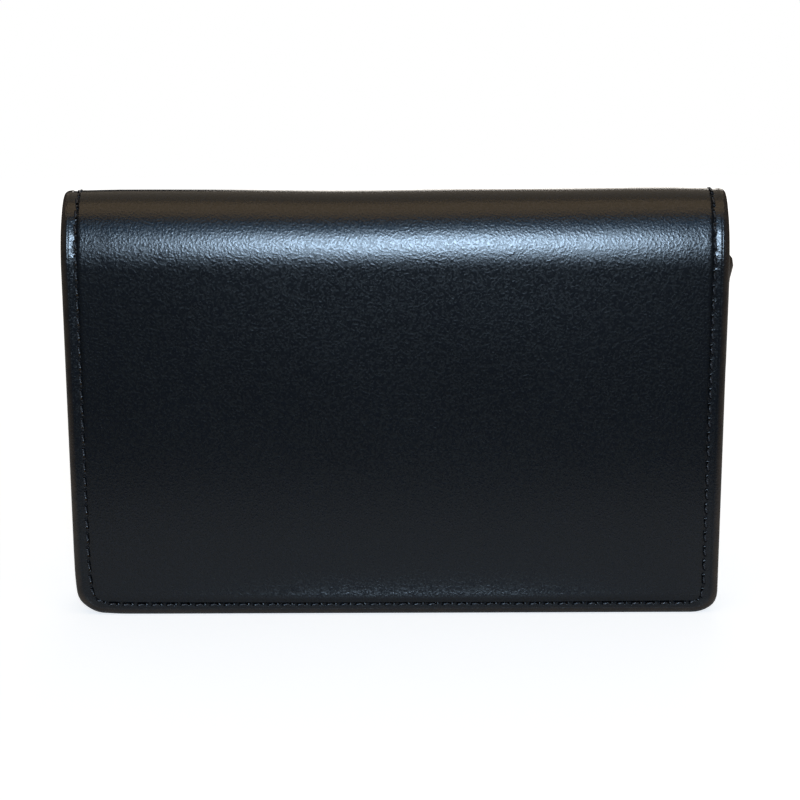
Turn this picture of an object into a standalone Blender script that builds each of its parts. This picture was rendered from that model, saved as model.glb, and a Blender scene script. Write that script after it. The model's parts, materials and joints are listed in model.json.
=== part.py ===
# Fold-over business card holder in black leather, closed and standing on its bottom edges.
# X runs along the fold, -Y is the front cover, +Y the back cover, Z is up. Lengths are in metres.
# A depth is measured in from the outside of the leather, square to its surface.
import math

import bmesh
import bpy
from mathutils import Matrix, Vector

# The closed case
CASE_WIDTH = 0.108
CASE_HEIGHT = 0.070
CASE_DEPTH = 0.014
FOLD_RISE = 0.012
CORNER_RADIUS = 0.0044
CREASE_GAP = 0.0003
LAYER_GAP = 0.0002
OVERRUN = 0.005
WELD = 0.00001

# The leather cover with its turned edge, and what it holds
LEATHER = 0.0010
TURNED_EDGE = 0.0020
TURN_IN_WIDTH = 0.0070
EDGE_ROUNDING = 0.0008
BOARD = 0.0008
BOARD_DROP = 0.0020
BOARD_CORNER = 0.0015
LINING = 0.0006
LINING_INSET = 0.0010

# The seam round the case
SEAM_SIDE_INSET = 0.0025
SEAM_BOTTOM_INSET = 0.0018
THREAD_RADIUS = 0.00022
THREAD_SINK = 0.00015
GROOVE_RADIUS = 0.0004
GROOVE_SINK = 0.0001
THREAD_LIFT = 0.0001
THREAD_STEP = 0.0009

# The two card slots inside the front cover. The upper one's mouth lies below the fold's base
SLOT_LEATHER = 0.0006
UPPER_SLOT_DROP = 0.0080
SLOT_STEP = 0.0100
SLOT_STITCH_DROP = 0.0018

# The card pocket on the back cover, with its gusset
POCKET_LEATHER = 0.0010
POCKET_CLEARANCE = 0.0005
POCKET_INSET = 0.0008
POCKET_MOUTH_DROP = 0.0010
POCKET_ROUNDING = 0.0003
NOTCH_RADIUS = 0.0110
MOUTH_STITCH_DROP = 0.0020
MOUTH_STITCH_SETBACK = 0.0010
GUSSET = 0.0007
GUSSET_WING = 0.0015
GUSSET_RISE = 0.0013
BOTTOM_BULGE = 0.0010
LEFT_BULGE = 0.0033
RIGHT_BULGE = 0.0044

# The gusset's outward bulge up each side, from its lower corner to its top
bulge_height_shares = (0.0, 0.20, 0.45, 0.68, 0.90, 0.94, 0.967, 0.985, 1.0)
left_bulge_shares = (0.52, 0.62, 0.86, 0.93, 0.94, 0.98, 1.0, 0.94, 0.72)
right_bulge_shares = (0.40, 0.50, 0.78, 0.85, 0.86, 0.94, 1.0, 0.93, 0.60)

FOLD_STEPS = 24
RIDGE_STEPS = 6
CORNER_STEPS = 6
GUSSET_STEPS = 8
NOTCH_STEPS = 16

# Faces that meet at less than this angle are made one face
FLAT_ANGLE = math.radians(0.5)

# The inside seam runs over the ridge of the fold from this angle to its mirror
ridge_angle = math.radians(60)

# Places that follow from the sizes
half_width = CASE_WIDTH / 2
half_depth = CASE_DEPTH / 2
fold_base = CASE_HEIGHT - FOLD_RISE
upper_slot_mouth = fold_base - UPPER_SLOT_DROP
lower_slot_mouth = upper_slot_mouth - SLOT_STEP
pocket_mouth = fold_base - POCKET_MOUTH_DROP
gusset_top = pocket_mouth + GUSSET_RISE
board_face = LEATHER + LAYER_GAP
lining_back = TURNED_EDGE + LAYER_GAP
lining_face = lining_back + LINING
upper_slot_back = lining_face + LAYER_GAP
upper_slot_face = upper_slot_back + SLOT_LEATHER
lower_slot_back = upper_slot_face + LAYER_GAP
lower_slot_face = lower_slot_back + SLOT_LEATHER
thread_seat = THREAD_LIFT + THREAD_RADIUS
pocket_face_y = -half_depth + lower_slot_face + thread_seat + THREAD_RADIUS + POCKET_CLEARANCE
pocket_back_y = pocket_face_y + POCKET_LEATHER
gusset_front_y = pocket_back_y + LAYER_GAP + GUSSET / 2
gusset_back_depth = lining_face + LAYER_GAP + GUSSET / 2
gusset_back_y = half_depth - gusset_back_depth
wing_face = gusset_back_depth + GUSSET / 2

# Planes for flat outlines: a profile of the fold runs along X, a panel is thick along Y
PROFILE_PLANE = Matrix(((0, 0, 1, 0), (1, 0, 0, 0), (0, 1, 0, 0), (0, 0, 0, 1)))
PANEL_PLANE = Matrix(((1, 0, 0, 0), (0, 0, -1, 0), (0, 1, 0, 0), (0, 0, 0, 1)))


def clear_scene():
    for obj in list(bpy.data.objects):
        bpy.data.objects.remove(obj, do_unlink=True)


def make_collection(name):
    collection = bpy.data.collections.new(name)
    bpy.context.scene.collection.children.link(collection)
    return collection


def make_material(name, colour, roughness):
    material = bpy.data.materials.new(name)
    material.use_nodes = True
    shader = material.node_tree.nodes["Principled BSDF"]
    shader.inputs["Base Color"].default_value = (*colour, 1.0)
    shader.inputs["Roughness"].default_value = roughness
    shader.inputs["Metallic"].default_value = 0.0
    return material


def smooth_by_angle(mesh):
    mesh.shade_smooth()
    mesh.set_sharp_from_angle(angle=math.radians(35))


def mesh_from_curve(name, curve, plane):
    """The curve's mesh, turned into the given plane, with its caps welded and each made one face."""
    guide = bpy.data.objects.new(name + "_guide", curve)
    bpy.context.scene.collection.objects.link(guide)
    graph = bpy.context.evaluated_depsgraph_get()
    mesh = bpy.data.meshes.new_from_object(guide.evaluated_get(graph))
    bpy.data.objects.remove(guide, do_unlink=True)
    work = bmesh.new()
    work.from_mesh(mesh)
    bmesh.ops.transform(work, matrix=plane, verts=work.verts)
    bmesh.ops.remove_doubles(work, verts=work.verts, dist=WELD)
    bmesh.ops.dissolve_limit(
        work, angle_limit=FLAT_ANGLE, verts=work.verts, edges=work.edges, delimit=set()
    )
    bmesh.ops.recalc_face_normals(work, faces=work.faces)
    work.to_mesh(mesh)
    work.free()
    mesh.name = name
    return mesh


def flat_mesh(name, outline, thickness, plane):
    """An outline of (across, up) points, filled and given a thickness about its plane."""
    curve = bpy.data.curves.new(name, "CURVE")
    curve.dimensions = "2D"
    curve.fill_mode = "BOTH"
    curve.extrude = thickness / 2
    spline = curve.splines.new("POLY")
    spline.points.add(len(outline) - 1)
    for point, (across, up) in zip(spline.points, outline):
        point.co = (across, up, 0, 1)
    spline.use_cyclic_u = True
    return mesh_from_curve(name, curve, plane)


def tube_mesh(name, path, radius, closed):
    curve = bpy.data.curves.new(name, "CURVE")
    curve.dimensions = "3D"
    curve.bevel_depth = radius
    curve.bevel_resolution = 2
    curve.use_fill_caps = not closed
    spline = curve.splines.new("POLY")
    spline.points.add(len(path) - 1)
    for point, place in zip(spline.points, path):
        point.co = (*place, 1)
    spline.use_cyclic_u = closed
    return mesh_from_curve(name, curve, Matrix.Identity(4))


def add_piece(name, mesh, material, pivot):
    """A part at its place in the world, carried by the empty that its body turns about."""
    mesh = mesh.copy()
    mesh.name = name
    mesh.materials.clear()
    mesh.materials.append(material)
    smooth_by_angle(mesh)
    piece = bpy.data.objects.new(name, mesh)
    parts.objects.link(piece)
    if pivot is not None:
        piece.parent = pivot
        piece.matrix_parent_inverse = Matrix.Translation(-pivot_places[pivot.name])
    return piece


def add_cutter(name, mesh):
    cutter = bpy.data.objects.new(name, mesh)
    cutter.hide_render = True
    cutter.display_type = "WIRE"
    cutters.objects.link(cutter)
    return cutter


def cut(piece, cutter, operation="DIFFERENCE"):
    modifier = piece.modifiers.new(cutter.name, "BOOLEAN")
    modifier.operation = operation
    modifier.object = cutter
    modifier.solver = "EXACT"


def round_edges(piece, width, segments):
    modifier = piece.modifiers.new("rounded_edges", "BEVEL")
    modifier.width = width
    modifier.segments = segments
    modifier.limit_method = "ANGLE"
    modifier.angle_limit = math.radians(40)


def add_pivot(name, place, carrier=None):
    pivot = bpy.data.objects.new(name, None)
    pivot.empty_display_size = LEATHER
    pivot.location = place if carrier is None else place - pivot_places[carrier.name]
    pivot.parent = carrier
    parts.objects.link(pivot)
    pivot_places[name] = place
    return pivot


def fold_quarter():
    """The length of the outside leather from the top of a flat face to the ridge of the fold."""
    places = [fold_point(0.0, math.pi / 2 * step / FOLD_STEPS) for step in range(FOLD_STEPS + 1)]
    return sum(math.dist(a, b) for a, b in zip(places, places[1:]))


def fold_point(depth, angle):
    """(y, z) on the fold at a depth, where angle 0 is the back face and 180 degrees the front."""
    across = (half_depth - depth) * math.cos(angle)
    return across, fold_base + (FOLD_RISE - depth) * math.sin(angle)


def surface_y(height, depth):
    """How far from the middle the leather's surface at this depth lies at this height."""
    if height <= fold_base:
        return half_depth - depth
    rise = (height - fold_base) / (FOLD_RISE - depth)
    return (half_depth - depth) * math.sqrt(1 - rise * rise)


def wrap_outline(outer, inner, low):
    """The (y, z) profile of a layer that runs up the front, over the fold and down the back."""
    angles = [math.pi * step / FOLD_STEPS for step in range(FOLD_STEPS + 1)]
    outside = [fold_point(outer, angle) for angle in angles]
    inside = [fold_point(inner, angle) for angle in reversed(angles)]
    back = (half_depth - outer, low)
    front = (outer - half_depth, low)
    return [back, *outside, front, (inner - half_depth, low), *inside, (half_depth - inner, low)]


def arc(centre, radius, start, end, steps):
    """(x, z) points of an arc between two angles in degrees."""
    turns = [math.radians(start + (end - start) * step / steps) for step in range(steps + 1)]
    return [(centre[0] + radius * math.cos(t), centre[1] + radius * math.sin(t)) for t in turns]


def panel_outline(side_inset, bottom_inset, radius, top):
    """The (x, z) outline of a panel whose two lower corners are rounded."""
    side = half_width - side_inset
    right = arc((side - radius, bottom_inset + radius), radius, 0, -90, CORNER_STEPS)
    left = [(-x, z) for x, z in reversed(right)]
    return [(side, top), *right, *left, (-side, top)]


def seam_radius():
    return CORNER_RADIUS - SEAM_SIDE_INSET


def seam_corners():
    """The (x, z) points of the seam's lower run, from the left side round to the right."""
    side = half_width - SEAM_SIDE_INSET
    centre = (side - seam_radius(), SEAM_BOTTOM_INSET + seam_radius())
    right = arc(centre, seam_radius(), -90, 0, CORNER_STEPS)
    return [(-x, z) for x, z in reversed(right)] + right


def outer_loop(sink):
    """The seam on the outside: along the front, over the right side, along the back and home."""
    side = half_width - SEAM_SIDE_INSET
    angles = [math.pi * step / FOLD_STEPS for step in range(FOLD_STEPS + 1)]
    front = [(x, sink - half_depth, z) for x, z in seam_corners()]
    back = [(-x, half_depth - sink, z) for x, z in seam_corners()]
    over_right = [(side, *fold_point(sink, angle)) for angle in reversed(angles)]
    over_left = [(-side, *fold_point(sink, angle)) for angle in angles]
    return front + over_right + back + over_left


def inside_run(faces, top):
    """(height, depth) places of the seam on the inside of one cover, where faces lists each
    layer's depth and how high it reaches, from the lowest top to the highest."""
    run = []
    for (face, reach), (next_face, _) in zip(faces, faces[1:]):
        run.append((reach + THREAD_LIFT + THREAD_RADIUS, face + thread_seat))
        run.append((reach + THREAD_STEP, next_face + thread_seat))
    start = run[-1][0]
    steps = CORNER_STEPS
    last = faces[-1][0] + thread_seat
    rest = [start + (top - start) * step / steps for step in range(1, steps + 1)]
    return run + [(height, last) for height in rest]


def inner_loop():
    """The seam on the inside, which steps from layer to layer."""
    side = half_width - SEAM_SIDE_INSET
    _, top = fold_point(lining_face + thread_seat, ridge_angle)
    front_faces = [
        (lower_slot_face, lower_slot_mouth),
        (upper_slot_face, upper_slot_mouth),
        (lining_face, top),
    ]
    back_faces = [(wing_face, gusset_top), (lining_face, top)]
    front_run = inside_run(front_faces, top)
    back_run = inside_run(back_faces, top)
    front_low = lower_slot_face + thread_seat
    back_low = wing_face + thread_seat
    front = [(x, front_low - half_depth, z) for x, z in seam_corners()]
    back = [(-x, half_depth - back_low, z) for x, z in seam_corners()]
    up_front = [(side, -surface_y(z, depth), z) for z, depth in front_run]
    up_back = [(-side, surface_y(z, depth), z) for z, depth in back_run]
    turn = (math.pi - 2 * ridge_angle) / RIDGE_STEPS
    angles = [math.pi - ridge_angle - turn * step for step in range(1, RIDGE_STEPS)]
    ridge = [(side, *fold_point(lining_face + thread_seat, angle)) for angle in angles]
    down_back = [(-x, y, z) for x, y, z in reversed(up_back)]
    down_front = [(-x, y, z) for x, y, z in reversed(up_front)]
    home_ridge = [(-x, -y, z) for x, y, z in ridge]
    return front + up_front + ridge + down_back + back + up_back + home_ridge + down_front


def crease_regions():
    """Cutters that part the cover, lining and thread at the two creases."""
    reach = CASE_HEIGHT + OVERRUN
    vertex = fold_base + FOLD_RISE - half_depth
    shift = CREASE_GAP / 2 * math.sqrt(2)
    high = vertex + shift
    low = vertex - shift
    width = CASE_WIDTH + 2 * OVERRUN
    spine = [(0, high), (reach, high + reach), (-reach, high + reach)]
    back = [(0, -OVERRUN), (reach, -OVERRUN), (reach, low + reach), (0, low)]
    front = [(-y, z) for y, z in reversed(back)]
    regions = {}
    for name, outline in (("spine", spine), ("back", back), ("front", front)):
        mesh = flat_mesh(name + "_region", outline, width, PROFILE_PLANE)
        regions[name] = add_cutter(name + "_region", mesh)
    for name, side in (("spine_left", -1), ("spine_right", 1)):
        half = flat_mesh(name + "_region", spine, half_width, PROFILE_PLANE)
        half.transform(Matrix.Translation((side * half_width, 0, 0)))
        regions[name] = add_cutter(name + "_region", half)
    return regions


def make_cover(regions):
    """One piece of leather, edges turned in and rounded, grooved for its seam."""
    width = CASE_WIDTH + 2 * OVERRUN
    wrap = flat_mesh("leather", wrap_outline(0.0, TURNED_EDGE, -OVERRUN), width, PROFILE_PLANE)
    outline = panel_outline(0.0, 0.0, CORNER_RADIUS, CASE_HEIGHT + OVERRUN)
    deep = CASE_DEPTH + 2 * OVERRUN
    shape = add_cutter("cover_outline", flat_mesh("cover_outline", outline, deep, PANEL_PLANE))
    recess_outline = wrap_outline(LEATHER, TURNED_EDGE + LEATHER, TURN_IN_WIDTH)
    recess_width = CASE_WIDTH - 2 * TURN_IN_WIDTH
    recess_mesh = flat_mesh("board_recess", recess_outline, recess_width, PROFILE_PLANE)
    recess = add_cutter("board_recess", recess_mesh)
    groove_mesh = tube_mesh("seam_groove", outer_loop(GROOVE_SINK), GROOVE_RADIUS, True)
    groove = add_cutter("seam_groove", groove_mesh)
    for name, pivot in (("front", front_crease), ("spine", rear_crease), ("back", None)):
        piece = add_piece(name + "_cover", wrap, leather, pivot)
        cut(piece, shape, "INTERSECT")
        round_edges(piece, EDGE_ROUNDING, 3)
        cut(piece, recess)
        cut(piece, groove)
        cut(piece, regions[name], "INTERSECT")


def make_lining(regions):
    width = CASE_WIDTH + 2 * OVERRUN
    outline = wrap_outline(lining_back, lining_face, -OVERRUN)
    wrap = flat_mesh("lining", outline, width, PROFILE_PLANE)
    inset = panel_outline(
        LINING_INSET, LINING_INSET, CORNER_RADIUS - LINING_INSET, CASE_HEIGHT + OVERRUN
    )
    shape_mesh = flat_mesh("lining_outline", inset, CASE_DEPTH + 2 * OVERRUN, PANEL_PLANE)
    shape = add_cutter("lining_outline", shape_mesh)
    for name, pivot in (("front", front_crease), ("spine", rear_crease), ("back", None)):
        piece = add_piece(name + "_lining", wrap, lining_cloth, pivot)
        cut(piece, shape, "INTERSECT")
        cut(piece, regions[name], "INTERSECT")


def make_seam(regions):
    """The needle thread in its groove outside, and the bobbin thread on the inside."""
    carriers = (
        ("front", front_crease),
        ("spine_left", rear_crease),
        ("spine_right", rear_crease),
        ("back", None),
    )
    outside = tube_mesh("needle_thread", outer_loop(THREAD_SINK), THREAD_RADIUS, True)
    inside = tube_mesh("bobbin_thread", inner_loop(), THREAD_RADIUS, True)
    for ending, mesh in (("_needle_thread", outside), ("_bobbin_thread", inside)):
        for name, pivot in carriers:
            piece = add_piece(name + ending, mesh, thread, pivot)
            cut(piece, regions[name], "INTERSECT")


def place_panel(name, outline, thickness, y, material, pivot):
    """A flat panel whose middle lies at y."""
    mesh = flat_mesh(name, outline, thickness, PANEL_PLANE)
    mesh.transform(Matrix.Translation((0, y, 0)))
    return add_piece(name, mesh, material, pivot)


def make_boards():
    inset = TURN_IN_WIDTH + LAYER_GAP
    outline = panel_outline(inset, inset, BOARD_CORNER, fold_base - BOARD_DROP)
    middle = half_depth - board_face - BOARD / 2
    place_panel("front_board", outline, BOARD, -middle, card, front_crease)
    place_panel("back_board", outline, BOARD, middle, card, None)


def make_slots():
    slots = (
        ("upper_slot", upper_slot_mouth, upper_slot_face),
        ("lower_slot", lower_slot_mouth, lower_slot_face),
    )
    side = half_width - SEAM_SIDE_INSET - THREAD_STEP
    for name, mouth, face in slots:
        radius = CORNER_RADIUS - LINING_INSET
        outline = panel_outline(LINING_INSET, LINING_INSET, radius, mouth)
        y = face - SLOT_LEATHER / 2 - half_depth
        place_panel(name, outline, SLOT_LEATHER, y, leather, front_crease)
        stitch_y = face + thread_seat - half_depth
        height = mouth - SLOT_STITCH_DROP
        path = [(-side, stitch_y, height), (side, stitch_y, height)]
        mesh = tube_mesh(name + "_thread", path, THREAD_RADIUS, False)
        add_piece(name + "_thread", mesh, thread, front_crease)


def mouth_line(drop, setback):
    """(x, z) points along the pocket's mouth, round the thumb notch, at a distance below it."""
    radius = NOTCH_RADIUS + drop
    height = pocket_mouth - drop
    start = math.degrees(math.asin(drop / radius))
    notch = arc((0, pocket_mouth), radius, -180 + start, -start, NOTCH_STEPS)
    side = half_width - setback
    return [(-side, height), *notch, (side, height)]


def make_pocket():
    side = half_width - POCKET_INSET
    radius = CORNER_RADIUS - POCKET_INSET
    bottom = panel_outline(POCKET_INSET, POCKET_INSET, radius, pocket_mouth)
    notch = arc((0, pocket_mouth), NOTCH_RADIUS, -180, 0, NOTCH_STEPS)
    middle = pocket_face_y + POCKET_LEATHER / 2
    front = place_panel("pocket_front", bottom + notch, POCKET_LEATHER, middle, leather, pocket_hinge)
    round_edges(front, POCKET_ROUNDING, 1)

    stitch_side = half_width - SEAM_SIDE_INSET
    top = pocket_mouth - MOUTH_STITCH_SETBACK
    seam = [(-stitch_side, top), *seam_corners(), (stitch_side, top)]
    mouth = mouth_line(MOUTH_STITCH_DROP, SEAM_SIDE_INSET + THREAD_STEP)
    for name, line in (("pocket_seam", seam), ("pocket_mouth", mouth)):
        groove_path = [(x, pocket_face_y + GROOVE_SINK, z) for x, z in line]
        thread_path = [(x, pocket_face_y + THREAD_SINK, z) for x, z in line]
        groove_path[0] = extend(groove_path[1], groove_path[0])
        groove_path[-1] = extend(groove_path[-2], groove_path[-1])
        groove_mesh = tube_mesh(name + "_groove", groove_path, GROOVE_RADIUS, False)
        cut(front, add_cutter(name + "_groove", groove_mesh))
        mesh = tube_mesh(name + "_thread", thread_path, THREAD_RADIUS, False)
        add_piece(name + "_thread", mesh, thread, pocket_hinge)


def extend(inner, end):
    """The end of a groove, moved on past its thread's end."""
    inner = Vector(inner)
    end = Vector(end)
    return tuple(end + (end - inner).normalized() * LAYER_GAP)


def share_at(height_share, shares):
    """The bulge share at a height share, read along its table."""
    for step in range(len(shares) - 1):
        low, high = bulge_height_shares[step], bulge_height_shares[step + 1]
        if height_share <= high:
            along = (height_share - low) / (high - low)
            return shares[step] + (shares[step + 1] - shares[step]) * along
    return shares[-1]


def gusset_stations():
    """(x, z, outward x, outward z, bulge) along the gusset, from its left top round to the right."""
    side = half_width - SEAM_SIDE_INSET
    low = SEAM_BOTTOM_INSET + seam_radius()
    heights = [low + (gusset_top - low) * share for share in bulge_height_shares]
    right = []
    left = []
    for share, height in zip(bulge_height_shares, heights):
        right.append((side, height, 1, 0, RIGHT_BULGE * share_at(share, right_bulge_shares)))
        left.append((-side, height, -1, 0, LEFT_BULGE * share_at(share, left_bulge_shares)))
    corners = []
    for step in range(1, CORNER_STEPS + 1):
        turn = math.pi / 2 * step / CORNER_STEPS
        out_x, out_z = math.cos(turn), -math.sin(turn)
        x = side - seam_radius() + seam_radius() * out_x
        z = low + seam_radius() * out_z
        corners.append((x, z, out_x, out_z, -out_z))
    right_low = right[0][4]
    left_low = left[0][4]
    path = list(reversed(left))
    for x, z, out_x, out_z, turned in corners:
        path.append((-x, z, -out_x, out_z, left_low + (BOTTOM_BULGE - left_low) * turned))
    for x, z, out_x, out_z, turned in reversed(corners):
        path.append((x, z, out_x, out_z, right_low + (BOTTOM_BULGE - right_low) * turned))
    return path + right


def make_gusset():
    """A strip bent to a C, sewn by one wing to the back cover and by the other to the pocket."""
    middle = (gusset_back_y + gusset_front_y) / 2
    half_gape = (gusset_back_y - gusset_front_y) / 2
    wing = min(GUSSET_WING, seam_radius() - GUSSET / 2)
    work = bmesh.new()
    rows = []
    for x, z, out_x, out_z, bulge in gusset_stations():
        section = [(-wing, gusset_back_y)]
        for step in range(GUSSET_STEPS + 1):
            turn = math.pi * step / GUSSET_STEPS
            section.append((bulge * math.sin(turn), middle + half_gape * math.cos(turn)))
        section.append((-wing, gusset_front_y))
        rows.append([work.verts.new((x + out * out_x, y, z + out * out_z)) for out, y in section])
    for row, following in zip(rows, rows[1:]):
        for step in range(len(row) - 1):
            work.faces.new((row[step], following[step], following[step + 1], row[step + 1]))
    bmesh.ops.recalc_face_normals(work, faces=work.faces)
    mesh = bpy.data.meshes.new("gusset")
    work.to_mesh(mesh)
    work.free()
    piece = add_piece("gusset", mesh, leather, None)
    wall = piece.modifiers.new("wall", "SOLIDIFY")
    wall.thickness = GUSSET
    wall.offset = 0.0
    wall.use_even_offset = True


clear_scene()
parts = make_collection("business_card_holder")
cutters = make_collection("cutters")
leather = make_material("black_leather", (0.011, 0.012, 0.015), 0.48)
lining_cloth = make_material("black_lining", (0.016, 0.016, 0.018), 0.75)
thread = make_material("black_thread", (0.014, 0.014, 0.016), 0.6)
card = make_material("grey_card", (0.21, 0.20, 0.18), 0.9)

# The creases lie where the opened covers and spine come flush and keep the leather's length
quarter = fold_quarter()
crease_y = (half_depth - FOLD_RISE + quarter) / 2
crease_z = fold_base + quarter - crease_y
pivot_places = {}
rear_crease = add_pivot("rear_crease", Vector((0, crease_y, crease_z)))
front_crease = add_pivot("front_crease", Vector((0, -crease_y, crease_z)), rear_crease)
hinge_place = Vector((0, gusset_front_y, SEAM_BOTTOM_INSET))
pocket_hinge = add_pivot("pocket_hinge", hinge_place)

creases = crease_regions()
make_cover(creases)
make_lining(creases)
make_seam(creases)
make_boards()
make_slots()
make_pocket()
make_gusset()

print(f"crease axes at y +-{crease_y * 1000:.3f} mm, z {crease_z * 1000:.3f} mm")
print(f"pocket hinge at y {hinge_place.y * 1000:.3f} mm, z {hinge_place.z * 1000:.3f} mm")
print(f"card room from y {pocket_back_y * 1000:.2f} to {(half_depth - lining_face) * 1000:.2f} mm")
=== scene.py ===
# %% [markdown]
# # A fold-over business card holder in black leather
# The real case is made the way a shoemaker or a bookbinder works. Pieces are cut flat from a hide and a
# lining cloth, creased, stitched together while they lie flat, and folded over last. This script follows
# the same order: each piece starts as a flat pattern in millimetres, gets its edges, grooves and stitches
# there, and is then folded onto the measured case with one function. The case comes in as a imported model
# with named bodies. The slots, the pocket's front and their stitches ride on one of them; the other pieces
# stay where they are folded to.

# %% Load the measured case
import json
import math

import bmesh
import bpy
import numpy as np
from mathutils import Matrix, Vector, noise

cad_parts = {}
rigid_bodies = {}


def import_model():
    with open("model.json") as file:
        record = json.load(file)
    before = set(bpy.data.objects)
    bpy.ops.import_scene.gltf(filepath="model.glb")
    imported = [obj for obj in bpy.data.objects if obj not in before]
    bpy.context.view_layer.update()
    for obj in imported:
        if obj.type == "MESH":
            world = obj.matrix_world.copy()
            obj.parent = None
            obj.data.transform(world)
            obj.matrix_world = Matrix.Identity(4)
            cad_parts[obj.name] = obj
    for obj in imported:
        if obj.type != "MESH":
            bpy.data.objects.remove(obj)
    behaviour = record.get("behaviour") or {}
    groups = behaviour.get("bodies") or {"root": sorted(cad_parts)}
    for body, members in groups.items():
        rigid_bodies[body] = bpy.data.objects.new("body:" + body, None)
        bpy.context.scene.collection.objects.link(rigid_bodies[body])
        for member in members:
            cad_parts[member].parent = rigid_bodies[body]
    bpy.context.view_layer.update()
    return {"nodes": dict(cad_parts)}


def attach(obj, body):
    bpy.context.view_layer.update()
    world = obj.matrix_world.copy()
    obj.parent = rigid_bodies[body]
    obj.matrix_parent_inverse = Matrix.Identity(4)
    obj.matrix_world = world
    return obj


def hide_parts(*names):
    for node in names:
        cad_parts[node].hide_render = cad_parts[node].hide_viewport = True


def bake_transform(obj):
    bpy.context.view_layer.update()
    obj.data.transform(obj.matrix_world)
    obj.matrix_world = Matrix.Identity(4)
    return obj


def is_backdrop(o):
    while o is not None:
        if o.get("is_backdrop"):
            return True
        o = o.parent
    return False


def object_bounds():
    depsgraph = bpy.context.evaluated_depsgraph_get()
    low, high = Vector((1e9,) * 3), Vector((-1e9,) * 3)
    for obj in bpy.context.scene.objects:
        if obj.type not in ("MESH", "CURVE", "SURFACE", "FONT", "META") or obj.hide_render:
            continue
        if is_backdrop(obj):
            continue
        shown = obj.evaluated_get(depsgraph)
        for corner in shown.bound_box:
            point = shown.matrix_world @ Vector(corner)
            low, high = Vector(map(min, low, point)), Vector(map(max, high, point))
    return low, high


for leftover in list(bpy.data.objects):
    bpy.data.objects.remove(leftover, do_unlink=True)
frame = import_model()

# %% [markdown]
# ## Sizes
# These are the sizes that the case was built to, in millimetres. A depth is measured in from the outside of
# the leather. The fold is half an ellipse: 7 mm out from the middle on each side and 12 mm tall, standing on
# the flat covers.

# %% The sizes of the case
MM = 0.001
WIDTH = 108.0
HALF_DEPTH = 7.0
FOLD_BASE = 58.0
FOLD_RISE = 12.0
CORNER = 4.4
LEATHER = 1.0
TURNED_EDGE = 2.0
TURN_IN = 7.0
SEAM_SIDE = 2.5
SEAM_BOTTOM = 1.8
SEAM_CORNER = CORNER - SEAM_SIDE
LINING_BACK = 2.2
LINING_FACE = 2.8
LINING_INSET = 1.0
UPPER_SLOT_FACE = 3.6
LOWER_SLOT_FACE = 4.4
SLOT_LEATHER = 0.6
UPPER_SLOT_MOUTH = 50.0
LOWER_SLOT_MOUTH = 40.0
THREAD = 0.22

# %% [markdown]
# ## Folding
# A flat point is x across, y along the leather from the ridge of the fold (below zero is the front cover,
# above zero the back cover) and z its height over the outer face. To fold it, the distance along the leather
# has to be turned into an angle round the ellipse. An ellipse has no neat formula for that, so the arc is
# walked once in small steps, and the table that this gives is read back with interpolation.
# The front's lower left corner is worn rounder than the others, so every layer is pushed in a little there.

# %% Fold a flat point onto the case
turns = np.linspace(0, math.pi / 2, 401)
arc_runs = np.hypot(np.diff(HALF_DEPTH * np.sin(turns)), np.diff(FOLD_RISE * np.cos(turns)))
runs = np.concatenate([[0], np.cumsum(arc_runs)])
QUARTER = float(runs[-1])
REACH = QUARTER + FOLD_BASE
CORNER_WEAR = 0.6


def fold(place):
    """The place on the folded case, in millimetres, of a point of the flat pattern."""
    across, along, height = place
    if across < 0 and along < 0:
        from_side, from_end = across + WIDTH / 2, along + REACH
        rubbed = CORNER_WEAR * math.exp(-((from_side - from_end) / 5.2) ** 2 - (from_side + from_end) / 12)
        across, along = across + rubbed, along + rubbed
    turn = float(np.interp(abs(along), runs, turns))
    out = math.copysign((HALF_DEPTH + height) * math.sin(turn), along)
    below = max(0.0, abs(along) - QUARTER)
    return Vector((across, out, FOLD_BASE + (FOLD_RISE + height) * math.cos(turn) - below))


print(f"leather from ridge to flat {QUARTER:.2f} mm, from ridge to lower edge {REACH:.2f} mm")

# %% [markdown]
# ## Colours and nodes
# Colours are written as sRGB hex codes, as a paint program shows them, but a shader works in linear light, so
# one function turns them. One more adds a node: it takes the node's own settings by name, and for each input
# either a value or the output that feeds it.

# %% Colour and node helpers
def linear(code):
    """The linear colour of an sRGB hex code."""
    shares = [int(code[place:place + 2], 16) / 255 for place in (0, 2, 4)]
    return [s / 12.92 if s <= 0.04045 else ((s + 0.055) / 1.055) ** 2.4 for s in shares] + [1.0]


def add_node(material, kind, inputs=None, **settings):
    """Adds one node, with its settings, its input values and its incoming links."""
    node = material.node_tree.nodes.new(kind)
    for setting, value in settings.items():
        setattr(node, setting, value)
    for socket, value in (inputs or {}).items():
        if isinstance(value, bpy.types.NodeSocket):
            material.node_tree.links.new(value, node.inputs[socket])
        else:
            node.inputs[socket].default_value = value
    return node


def new_material(name):
    """An empty material and its Principled shader."""
    material = bpy.data.materials.new(name)
    material.use_nodes = True
    return material, material.node_tree.nodes["Principled BSDF"]


print("leather black in linear light:", [round(share, 4) for share in linear("16191e")])

# %% [markdown]
# ## Calf leather
# The hide is calf, dyed through and finished with pigment, then pressed with a fine grain. To the eye it is a
# neutral near black, satin rather than glossy, and the grain, about 0.4 mm from one grain to the next, breaks
# a highlight into specks. Three patterns make up its relief: a soft noise for the grain, a Voronoi pattern for
# the small cells between the pores, and a finer noise for the pores. They read the place that each point had
# in the flat hide, so the grain follows the leather over the fold and stays on it when the case opens. The low
# parts of the relief are painted darker, a painted shade in the creases of the grain. Where the edges are
# turned, a little brown is painted in. It is partly wear, where handling has rubbed the black thin, and partly
# a painted warm reflection of the light overhead. The cover marks those places with an attribute.

# %% The leather finish
GRAIN = 0.38
CELL = 0.42
PORE = 0.15


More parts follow.
